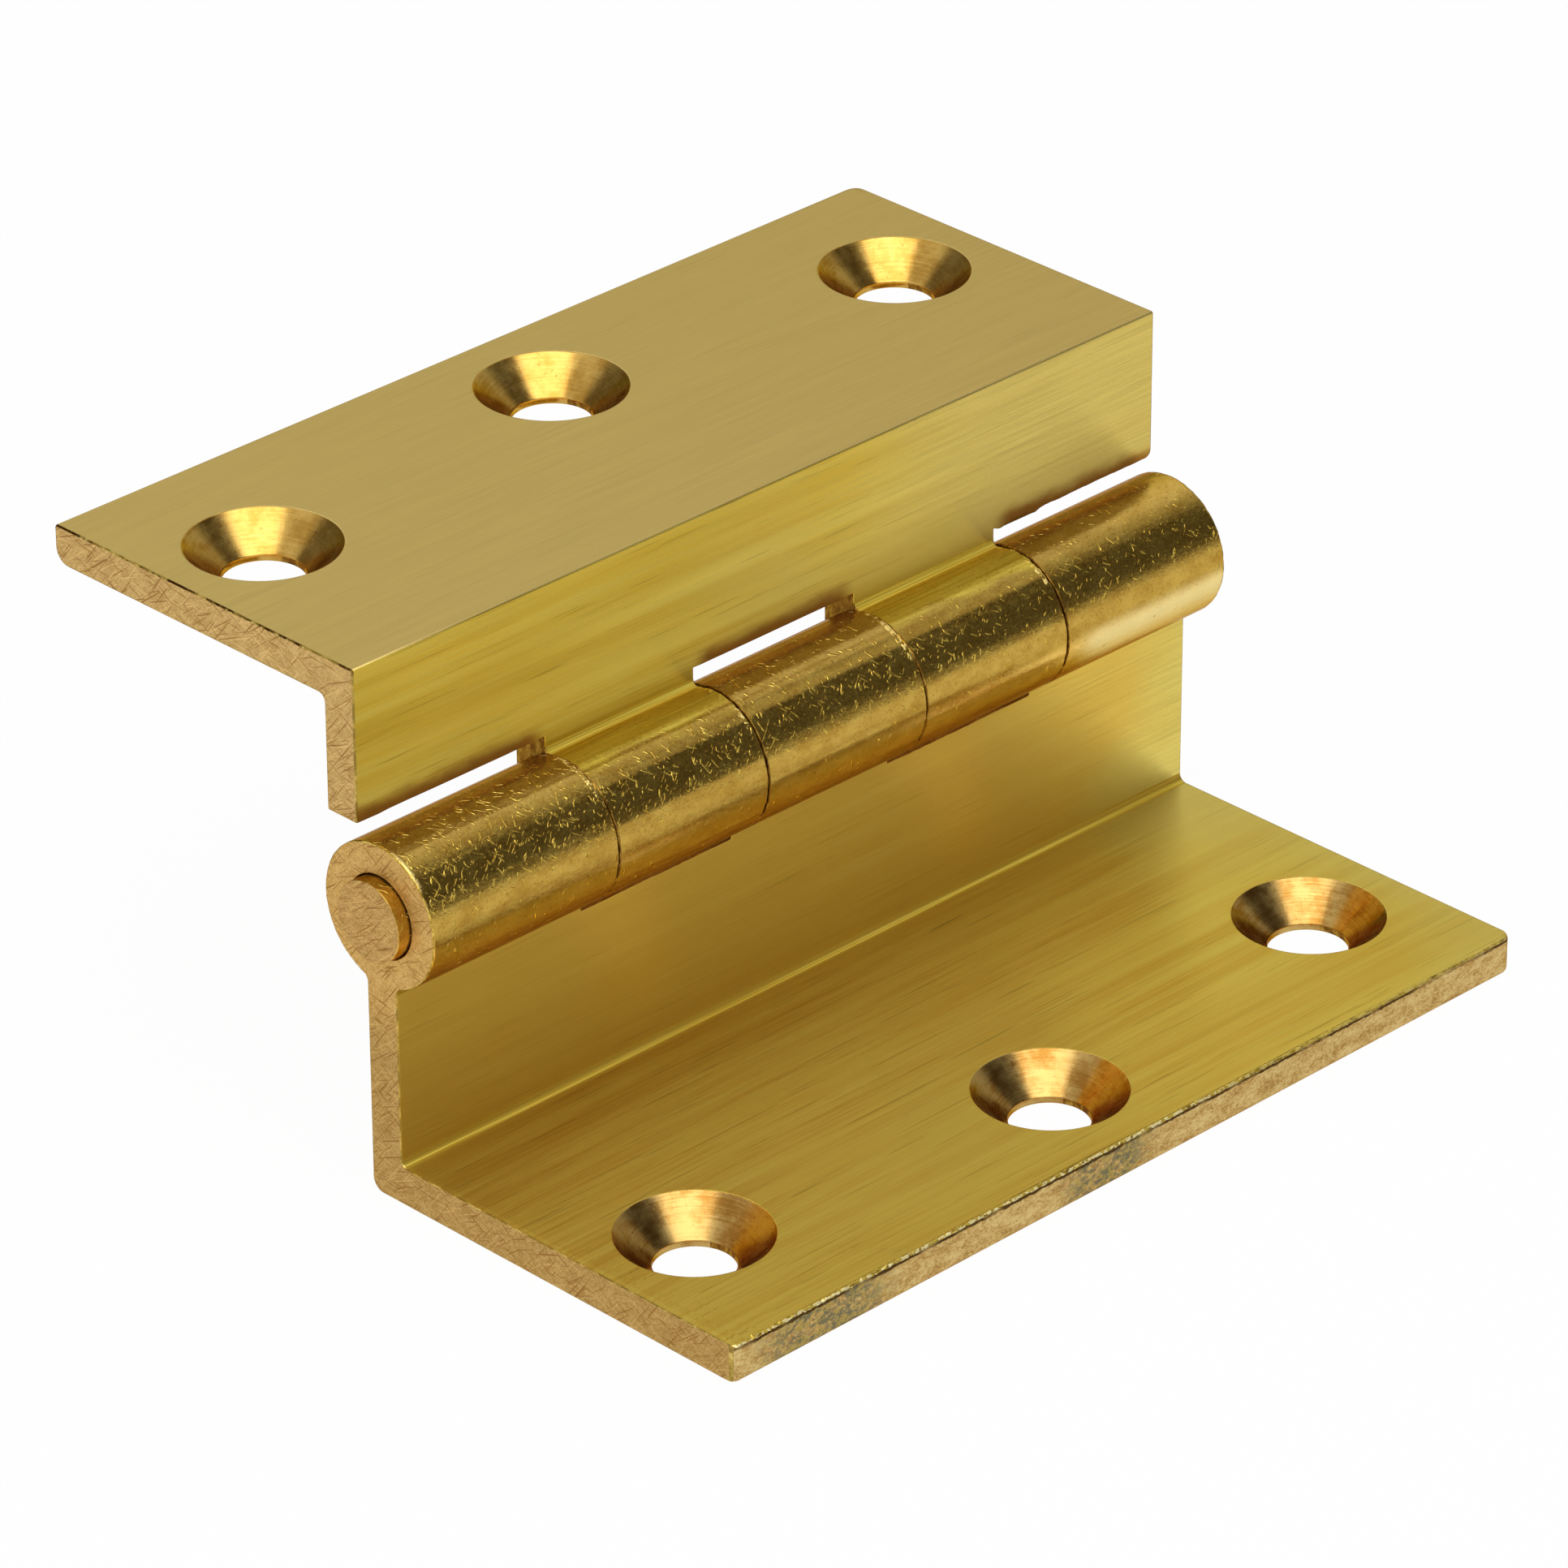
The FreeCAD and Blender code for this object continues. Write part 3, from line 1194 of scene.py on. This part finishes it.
    def face_kind(self, face: BMFace) -> Face:
        """Say which tool made a face.

        Args:
            face: The face.

        Returns:
            Its kind.
        """
        centre, normal = face.calc_center_median(), face.normal
        if abs(normal.y) > 0.9:
            at_end = HALF_LENGTH - abs(centre.y) < 0.01
            return Face.SAWN if at_end else Face.JOINT
        from_bore = max(math.hypot(v.co.x, v.co.z) for v in face.verts)
        if from_bore < self.bore_radius + 0.1:
            return Face.BORE
        for inset, along in self.hole_places:
            away = math.hypot(centre.x - self.free + inset, centre.y - along)
            if away < self.seat_radius and abs(normal.z) < 0.97 and centre.z < self.plate_top:
                return Face.SEAT
        cx, cz = self.knuckle_shift
        from_knuckle = math.hypot(centre.x - cx, centre.z - cz)
        if from_knuckle < self.knuckle_radius + 0.01:
            return Face.KNUCKLE
        in_corner = math.hypot(centre.x - self.front, centre.z - self.plate_top)
        in_root = centre.z > self.notch + 0.05 and abs(normal.x) < 0.995
        if in_corner < self.inner_corner or in_root:
            return Face.ROOT
        if normal.z > 0.9 and abs(centre.z - self.notch) < 0.01:
            return Face.SAWN
        at_lip = centre.x > self.free - 0.2 and centre.z > self.plate_top - 0.2
        if at_lip and self.edge_burr and 0.2 < normal.x < 0.97:
            return Face.LIP
        if centre.x > self.free - 1.2 and normal.x > 0.6:
            return Face.EDGE
        return Face.PLATE if abs(normal.z) > 0.7 else Face.FLANGE

    def sort_faces(self) -> None:
        """Give every face its kind."""
        bmesh.ops.recalc_face_normals(self.bm, faces=self.bm.faces)
        for face in self.bm.faces:
            face.material_index = self.face_kind(face)

    def break_edges(self) -> None:
        """Take the sharpness off every edge, as tumbling does, and dull the sawn ones."""
        edges = sharp_edges(self.bm, 30)
        made = bmesh.ops.bevel(self.bm, geom=edges, offset=self.edge_break,
                               offset_type="OFFSET", segments=2, profile=0.5,
                               affect="EDGES", clamp_overlap=False, material=-1)
        for vert in self.bm.verts:
            vert.co.y = min(vert.co.y, HALF_LENGTH)
            vert.co.z = max(vert.co.z, -self.depth)
        for face in made["faces"]:
            centre = face.calc_center_median()
            out = math.hypot(centre.x, centre.z)
            if out < self.bore_radius + 0.12:
                face.material_index = Face.JOINT
            elif centre.z > self.notch + 0.3:
                at_end = HALF_LENGTH - abs(centre.y) < 0.2
                plain = Face.BURR if at_end else Face.JOINT
                # Rim bevels on the lit arc take the painted highlight.
                face.material_index = Face.RIM if self.has_burr_and_glint(centre) else plain
            elif math.hypot(centre.x - self.flange_back, centre.z + self.depth) < 0.1:
                face.material_index = Face.BURR
            elif HALF_LENGTH - abs(centre.y) < self.edge_break:
                face.material_index = Face.BURR

    def has_burr_and_glint(self, place: Vector) -> bool:
        """Say whether a place on a knuckle's rim has a torn burr, whose faces are painted a
        brighter colour as a highlight.

        Args:
            place: The place, with the leaf shut.

        Returns:
            True where the open hinge shows such a burr catching the light.
        """
        side = -1 if self.turned else 1
        round_from = math.degrees(math.atan2(side * place.z, side * place.x))
        if place.y < 0.2 - HALF_LENGTH:
            return -25 < round_from < 112
        far_rim = any(-0.01 < joint - place.y < 0.2 for joint in KNUCKLE_JOINTS)
        return far_rim and 42 < round_from < 97

    def split_along(self, wanted: Callable[[BMEdge], bool], step: float) -> None:
        """Split the edges that run along the pin, so that they can wander.

        Args:
            wanted: Says which edges.
            step: How far apart the splits are.
        """
        by_length: dict[int, list[BMEdge]] = {}
        for edge in self.bm.edges:
            low, high = edge.verts
            run = abs(low.co.y - high.co.y)
            if run > 2 * step and edge.calc_length() < run * 1.001 and wanted(edge):
                by_length.setdefault(max(1, int(run / step)), []).append(edge)
        for cuts, edges in by_length.items():
            bmesh.ops.subdivide_edges(self.bm, edges=edges, cuts=cuts, use_grid_fill=True)

    def wander_notches(self) -> None:
        """Let the notches' sawn edges wander, and hang the saw's burrs on them."""
        top = self.notch + 0.01
        low = self.notch - 1.5 * self.edge_break

        def on_floor(edge: BMEdge) -> bool:
            """Whether an edge lies in the notches' floor."""
            return all(low < v.co.z < top and v.co.x < self.front + 0.01 for v in edge.verts)

        self.split_along(on_floor, 0.22)
        for start, stop, has_knuckle in self.spans():
            if has_knuckle:
                continue
            for vert in self.bm.verts:
                where = vert.co
                if not (start - FLAT < where.y < stop + FLAT and low < where.z < top
                        and where.x < self.front + 0.01):
                    continue
                inset = min(where.y - start, stop - where.y)
                share = min(1.0, inset / 0.6)
                lift = noise.noise(Vector((where.y * 0.5, self.seed, where.x * 0.3)))
                lift += 0.6 * noise.noise(Vector((where.y * 2.4, self.seed + 5, where.x)))
                rise = lift * self.saw_wander
                for burr in self.burrs:
                    rise += burr.height * math.exp(-((where.y - burr.along) / burr.width) ** 2)
                where.z += rise * share
                past = where.y - (HALF_LENGTH - self.notch_end_radius)
                if past > 0:
                    run = min(past, self.notch_end_radius)
                    full = self.notch_end_radius
                    where.z -= full - math.sqrt(full ** 2 - run ** 2)

    def rag_free_edge(self) -> None:
        """Raise the torn burr along the plate's free edge."""
        if not self.edge_burr:
            return
        low, inner = self.plate_top - 0.14, self.free - 0.26

        def on_edge(edge: BMEdge) -> bool:
            """Whether an edge lies along the free edge's lip."""
            return all(v.co.z > low and v.co.z < self.plate_top + 0.01 and v.co.x > inner
                       for v in edge.verts)

        self.split_along(on_edge, 0.14)
        draw = random.Random(self.seed)
        for vert in sorted(self.bm.verts, key=reading_order):
            where = vert.co
            if where.z > low and where.x > inner and abs(where.y) < HALF_LENGTH - 0.2:
                share = 1.0 - 0.75 * (where.y + HALF_LENGTH) / (2 * HALF_LENGTH)
                share *= 0.5 + 0.5 * noise.noise(Vector((where.y * 0.9, 3.0, 0.0)))
                where.z += self.edge_burr * share * draw.uniform(-0.4, 1.0)
                where.x -= 0.5 * self.edge_burr * share * draw.uniform(0.0, 1.0)

    def rag_knuckles(self) -> None:
        """Nick the knuckles' rims where they rub on each other."""
        draw = random.Random(self.seed + 40)
        cuts = [v for low, high, has in self.spans() if has for v in (low, high)]
        cx, cz = self.knuckle_shift
        for vert in sorted(self.bm.verts, key=reading_order):
            where = vert.co
            out = math.hypot(where.x - cx, where.z - cz)
            near = min(abs(where.y - cut) for cut in cuts)
            if near < self.edge_break * 1.3 and out > self.knuckle_radius - 0.12:
                if out < self.knuckle_radius + 0.02 and where.z > self.notch + 0.4:
                    torn = self.has_burr_and_glint(where) and where.y > 0.5 - HALF_LENGTH
                    push = draw.uniform(-0.03, 0.09) if torn else draw.uniform(-0.035, 0.015)
                    where.x += push * (where.x - cx) / out
                    where.z += push * (where.z - cz) / out

    def build(self, materials: Sequence[bpy.types.Material], body: str, node: str,
              slot: str) -> bpy.types.Object:
        """Make the leaf and put it in its CAD node's place.

        Args:
            materials: One material for each kind of face.
            body: The body that it rides on.
            node: The CAD node that it stands for.
            slot: The record's material slot; not used.

        Returns:
            The leaf's object.
        """
        self.draw_walls()
        self.close_ends()
        self.sink_holes()
        self.sort_faces()
        self.break_edges()
        self.round_free_corners()
        self.wander_notches()
        self.rag_free_edge()
        self.rag_knuckles()
        open_edges = sum(not e.is_manifold for e in self.bm.edges)
        faces = len(self.bm.faces)
        piece = save_mesh(self.bm, self.name, self.turned, materials)
        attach(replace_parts(piece, node), body)
        log.info("%s: %d faces, %d open edges", self.name, faces, open_edges)
        return piece


# ---------------------------------------------------------------- the pin


@dataclass
class HingePin:
    """The plain pin, sawn off square at both ends."""

    radius: float = 2.5
    near_end: float = -32.9
    far_end: float = 31.1
    chamfer: float = 0.1
    steps: int = 96

    def build(self, materials: Sequence[bpy.types.Material]) -> bpy.types.Object:
        """Make the pin and put it in its CAD node's place.

        Args:
            materials: The round side's material and the sawn ends'.

        Returns:
            The pin's object.
        """
        bm = bmesh.new()
        middle = (self.near_end + self.far_end) / 2
        place = Matrix.Translation((0, middle, 0)) @ Matrix.Rotation(math.pi / 2, 4, "X")
        bmesh.ops.create_cone(bm, cap_ends=True, segments=self.steps, radius1=self.radius,
                              radius2=self.radius, depth=self.far_end - self.near_end,
                              matrix=place)
        for face in bm.faces:
            face.material_index = int(abs(face.normal.y) > 0.9)
        bmesh.ops.bevel(bm, geom=sharp_edges(bm, 30), offset=self.chamfer * 0.6,
                        offset_type="OFFSET", segments=3, profile=0.5, affect="EDGES",
                        material=-1)
        piece = save_mesh(bm, "pin_sawn", False, materials)
        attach(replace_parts(piece, "hinge_pin"), "frame")
        log.info("pin_sawn: %d faces", len(piece.data.polygons))
        return piece


# ---------------------------------------------------------------- the studio


@dataclass(frozen=True)
class Softbox:
    """A round soft lamp that faces the hinge."""

    name: str
    towards: tuple[float, float, float]
    distance: float
    size: float
    power: float

    def build(self, aim: Vector) -> None:
        """Hang the lamp.

        Args:
            aim: The point that it faces.
        """
        data = bpy.data.lights.new(self.name, "AREA")
        data.shape = "DISK"
        data.size = self.size
        data.energy = self.power
        lamp = bpy.data.objects.new(self.name, data)
        out = Vector(self.towards).normalized()
        lamp.location = aim + out * self.distance
        lamp.rotation_mode = "QUATERNION"
        lamp.rotation_quaternion = out.to_track_quat("Z", "Y")
        bpy.context.scene.collection.objects.link(lamp)


@dataclass(frozen=True)
class Screen:
    """A round dark screen in the room, which bare metal shows as a dark band."""

    towards: tuple[float, float, float]
    dark_within: float
    gone_beyond: float
    level: float


@dataclass
class Studio:
    """The pale floor, the soft light and the camera."""

    image_size: float = 1932.0
    azimuth: float = 45.334
    elevation: float = 28.809
    roll: float = -0.165
    focal_pixels: float = 11030.8
    distance_mm: float = 517.59
    target_mm: tuple[float, float, float] = (-17.135, 0.0, 13.98)
    centre_pixels: tuple[float, float] = (985.404, 973.183)
    sensor_mm: float = 36.0
    white_share: float = 0.97
    lamps: tuple[Softbox, ...] = (
        Softbox("top_softbox", (0.31, -0.16, 0.937), 0.60, 0.63, 2.15),
    )
    screens: tuple[Screen, ...] = (
        Screen((0.62, 0.57, 0.53), 22, 33, 0.07),
        Screen((0.12, 0.93, 0.34), 21, 34, 0.62),
        Screen((0.10, 0.62, 0.78), 6, 20, 0.84),
        Screen((-0.95, -0.08, 0.30), 25, 38, 0.20),
        Screen((-0.72, 0.69, 0.04), 9, 20, 0.30),
    )
    matt_share: float = 0.62

    def lay_floor(self) -> None:
        """Lay the pale floor, white to the eye and still able to hold a shadow."""
        bm = bmesh.new()
        bmesh.ops.create_grid(bm, x_segments=1, y_segments=1, size=4.0)
        bmesh.ops.translate(bm, verts=bm.verts, vec=(0, 0, -0.00002))
        mesh = bpy.data.meshes.new("floor")
        bm.to_mesh(mesh)
        bm.free()
        material = bpy.data.materials.new("pale_floor")
        material.use_nodes = True
        bench = NodeBench(material.node_tree)
        matt = bench.add("ShaderNodeBsdfDiffuse")
        matt.inputs["Color"].default_value = (0.96, 0.96, 0.96, 1)
        white = bench.add("ShaderNodeEmission")
        white.inputs["Color"].default_value = (1, 1, 1, 1)
        path = bench.add("ShaderNodeLightPath").outputs
        seen = bench.most(bench.most(path["Is Camera Ray"], path["Is Glossy Ray"]),
                          path["Is Transmission Ray"])
        mix = bench.add("ShaderNodeMixShader")
        for socket, value in zip(mix.inputs, (bench.times(seen, self.white_share),
                                              matt.outputs[0], white.outputs[0])):
            bench.feed(socket, value)
        out = bench.add("ShaderNodeOutputMaterial")
        bench.feed(out.inputs["Surface"], mix.outputs[0])
        mesh.materials.append(material)
        floor = bpy.data.objects.new("floor", mesh)
        bpy.context.scene.collection.objects.link(floor)

    def hang_backdrop(self) -> None:
        """Light the room: pale low down, quieter overhead, with a few dark screens."""
        world = bpy.data.worlds.new("studio")
        bpy.context.scene.world = world
        world.use_nodes = True
        bench = NodeBench(world.node_tree, "Generated")
        _, _, up = bench.parts(bench.place)
        level = bench.between(up, 0.06, 0.40, 1.0, 0.96)
        for screen in self.screens:
            dot = bench.add("ShaderNodeVectorMath", operation="DOT_PRODUCT")
            bench.feed(dot.inputs[0], bench.place)
            dot.inputs[1].default_value = Vector(screen.towards).normalized()
            far, near = (math.cos(math.radians(angle))
                         for angle in (screen.gone_beyond, screen.dark_within))
            shade = bench.between(dot.outputs["Value"], far, near, 1.0, screen.level)
            level = bench.times(level, shade)
        path = bench.add("ShaderNodeLightPath").outputs
        seen = bench.most(path["Is Camera Ray"], path["Is Transmission Ray"])
        matt = bench.between(path["Is Glossy Ray"], 0.0, 1.0, self.matt_share, 1.0)
        level = bench.most(bench.times(level, matt), seen)
        glow = bench.add("ShaderNodeBackground")
        bench.feed(glow.inputs["Strength"], level)
        out = bench.add("ShaderNodeOutputWorld")
        bench.feed(out.inputs["Surface"], glow.outputs[0])

    def set_camera(self) -> None:
        """Stand the camera where the photograph was taken from."""
        turn, lift = math.radians(self.azimuth), math.radians(self.elevation)
        back = Vector((math.sin(turn) * math.cos(lift), -math.cos(turn) * math.cos(lift),
                       math.sin(lift)))
        right = Vector((math.cos(turn), math.sin(turn), 0.0))
        up = back.cross(right)
        roll = math.radians(self.roll)
        across = right * math.cos(roll) + up * math.sin(roll)
        upward = up * math.cos(roll) - right * math.sin(roll)
        data = bpy.data.cameras.new("camera")
        data.sensor_width = self.sensor_mm
        data.lens = self.focal_pixels / self.image_size * self.sensor_mm
        data.shift_x = (self.image_size / 2 - self.centre_pixels[0]) / self.image_size
        data.shift_y = (self.centre_pixels[1] - self.image_size / 2) / self.image_size
        data.clip_start = 0.01
        data.clip_end = 20.0
        camera = bpy.data.objects.new("camera", data)
        bpy.context.scene.collection.objects.link(camera)
        camera.rotation_mode = "QUATERNION"
        turned = Matrix((across, upward, back)).transposed()
        camera.rotation_quaternion = turned.to_quaternion()
        camera.location = (Vector(self.target_mm) + back * self.distance_mm) * MM
        bpy.context.scene.camera = camera

    def build(self) -> None:
        """Set up the whole studio."""
        self.lay_floor()
        self.hang_backdrop()
        for lamp in self.lamps:
            lamp.build(Vector(self.target_mm) * MM)
            log.info("%s hung", lamp.name)
        self.set_camera()
        bpy.context.scene.view_settings.view_transform = "Standard"
        log.info("studio set")


# ---------------------------------------------------------------- all of it


def leaf_finishes(edge_top: float, plate: DrawnBrass, flange: DrawnBrass, sawn: SawnBrass,
                  seat: TurnedBrass) -> list[bpy.types.Material]:
    """One material for each kind of face on a leaf, in the order of Face.

    Args:
        edge_top: The height of the face that the free edge's burr stands on.
        plate: The plate's finish.
        flange: The flange's finish.
        sawn: The finish of the sawn ends.
        seat: The finish of the screw seats.

    Returns:
        The materials.
    """
    tag = plate.name.split("_")[0]
    makers = {
        Face.PLATE: plate,
        Face.FLANGE: flange,
        Face.SAWN: sawn,
        Face.KNUCKLE: RolledBrass(f"{tag}_knuckle", smooth_over_top=tag == "casement"),
        Face.SEAT: seat,
        Face.EDGE: WornEdge(f"{tag}_free_edge", edge_top),
        Face.BORE: TurnedBrass(f"{tag}_pin_bore"),
        Face.BURR: BurredBrass(f"{tag}_burred_edge", (0.30, 0.20, 0.045), (0.52, 0.36, 0.08),
                               grimy_near_end=tag == "casement"),
        Face.ROOT: BurnishedRoot(f"{tag}_inner_radius",
                                 (-16.7, 2.4) if tag == "frame" else None),
        Face.JOINT: JointBrass(f"{tag}_knuckle_side"),
        # A brighter copy of the burr colours on the rims: a painted highlight.
        Face.RIM: BurredBrass(f"{tag}_knuckle_rim_highlight", (0.42, 0.25, 0.035), (0.78, 0.56, 0.10),
                              (0.98, 0.80, 0.24), 0.26),
        Face.LIP: TornLip(f"{tag}_torn_lip"),
    }
    return [makers[kind].material() for kind in Face]


def main() -> None:
    """Build the leaves, the pin and the studio."""
    logging.basicConfig(level=logging.INFO, format="%(name)s %(message)s")
    frame_leaf = CrankedLeaf(
        name="frame_leaf_sawn", flange_back=-1.2, depth=18.1, width=29.2, notch_gap=0.45,
        own_knuckles=(0, 2, 4), sunk_from=SunkFrom.INSIDE, turned=False, outer_corner=0.8,
        edge_radius=0.35, near_corner=0.4, knuckle_radius=4.46, knuckle_shift=(-0.05, 0.03),
        edge_burr=0.16, seed=11)
    frame_sawn = SawnBrass("frame_sawn_end", dark=(0.40, 0.224, 0.057), light=(0.63, 0.42, 0.149),
                           paler_above=11.5)
    frame_plate = DrawnBrass("frame_plate", dark=(0.76, 0.49, 0.07), mid=(0.88, 0.645, 0.115),
                             light=(0.94, 0.75, 0.145), contrast=1.0,
                             far_sheen_tint=(0.86, 0.72, 0.20), far_span=(18, 31))
    frame_flange = DrawnBrass("frame_flange", dark=(0.80, 0.53, 0.09), contrast=0.5,
                              far_sheen_tint=(0.88, 0.76, 0.21), far_span=(18, 31))
    frame_leaf.build(
        leaf_finishes(2.4, frame_plate, frame_flange, frame_sawn,
                      TurnedBrass("frame_screw_seat", (0.34, 0.16, 0.028), (0.55, 0.365, 0.115))),
        "frame", "frame_leaf", "leaf_brass")
    casement_leaf = CrankedLeaf(
        name="casement_leaf_sawn", flange_back=1.7, depth=14.8, width=25.0, notch_gap=0.8,
        own_knuckles=(1, 3), sunk_from=SunkFrom.OUTSIDE, turned=True, outer_corner=0.18,
        front_root=False, inner_edge_radius=1.0, root_radius=0.35, edge_break=0.1,
        notch_end_radius=0.5, seed=23,
        burrs=(Burr(18.9, 0.26, 0.8), Burr(22.0, 0.20, 0.4), Burr(24.4, 0.07, 0.8)))
    casement_sawn = SawnBrass("casement_sawn_end", dark=(0.52, 0.315, 0.10),
                              light=(0.78, 0.54, 0.215))
    casement_plate = DrawnBrass("casement_plate", dark=(0.775, 0.58, 0.195),
                                mid=(0.79, 0.595, 0.205), light=(0.805, 0.61, 0.215), contrast=0.28)
    # The flange takes a painted sheen toward the far end, and a painted dark reflection of the
    # knuckles above the notches.
    casement_flange = DrawnBrass(
        "casement_flange", dark=(0.62, 0.405, 0.035), mid=(0.77, 0.545, 0.072),
        light=(0.88, 0.69, 0.13), contrast=1.0, far_sheen_tint=(0.80, 0.63, 0.19), far_beyond=-20.8,
        reflection_band_above=23.3, reflection_band_spans=((-34.5, -17.5), (-6.3, 7.1), (18.3, 34.5)))
    casement_leaf.build(
        leaf_finishes(32.9, casement_plate, casement_flange, casement_sawn,
                      TurnedBrass("casement_screw_seat")),
        "casement", "casement_leaf", "leaf_brass")
    pin_end = SawnBrass("pin_end", dark=(0.44, 0.237, 0.066), light=(0.72, 0.473, 0.174))
    HingePin().build([RolledBrass("pin_side").material(), pin_end.material()])
    Studio().build()


if __name__ == "__main__":
    main()
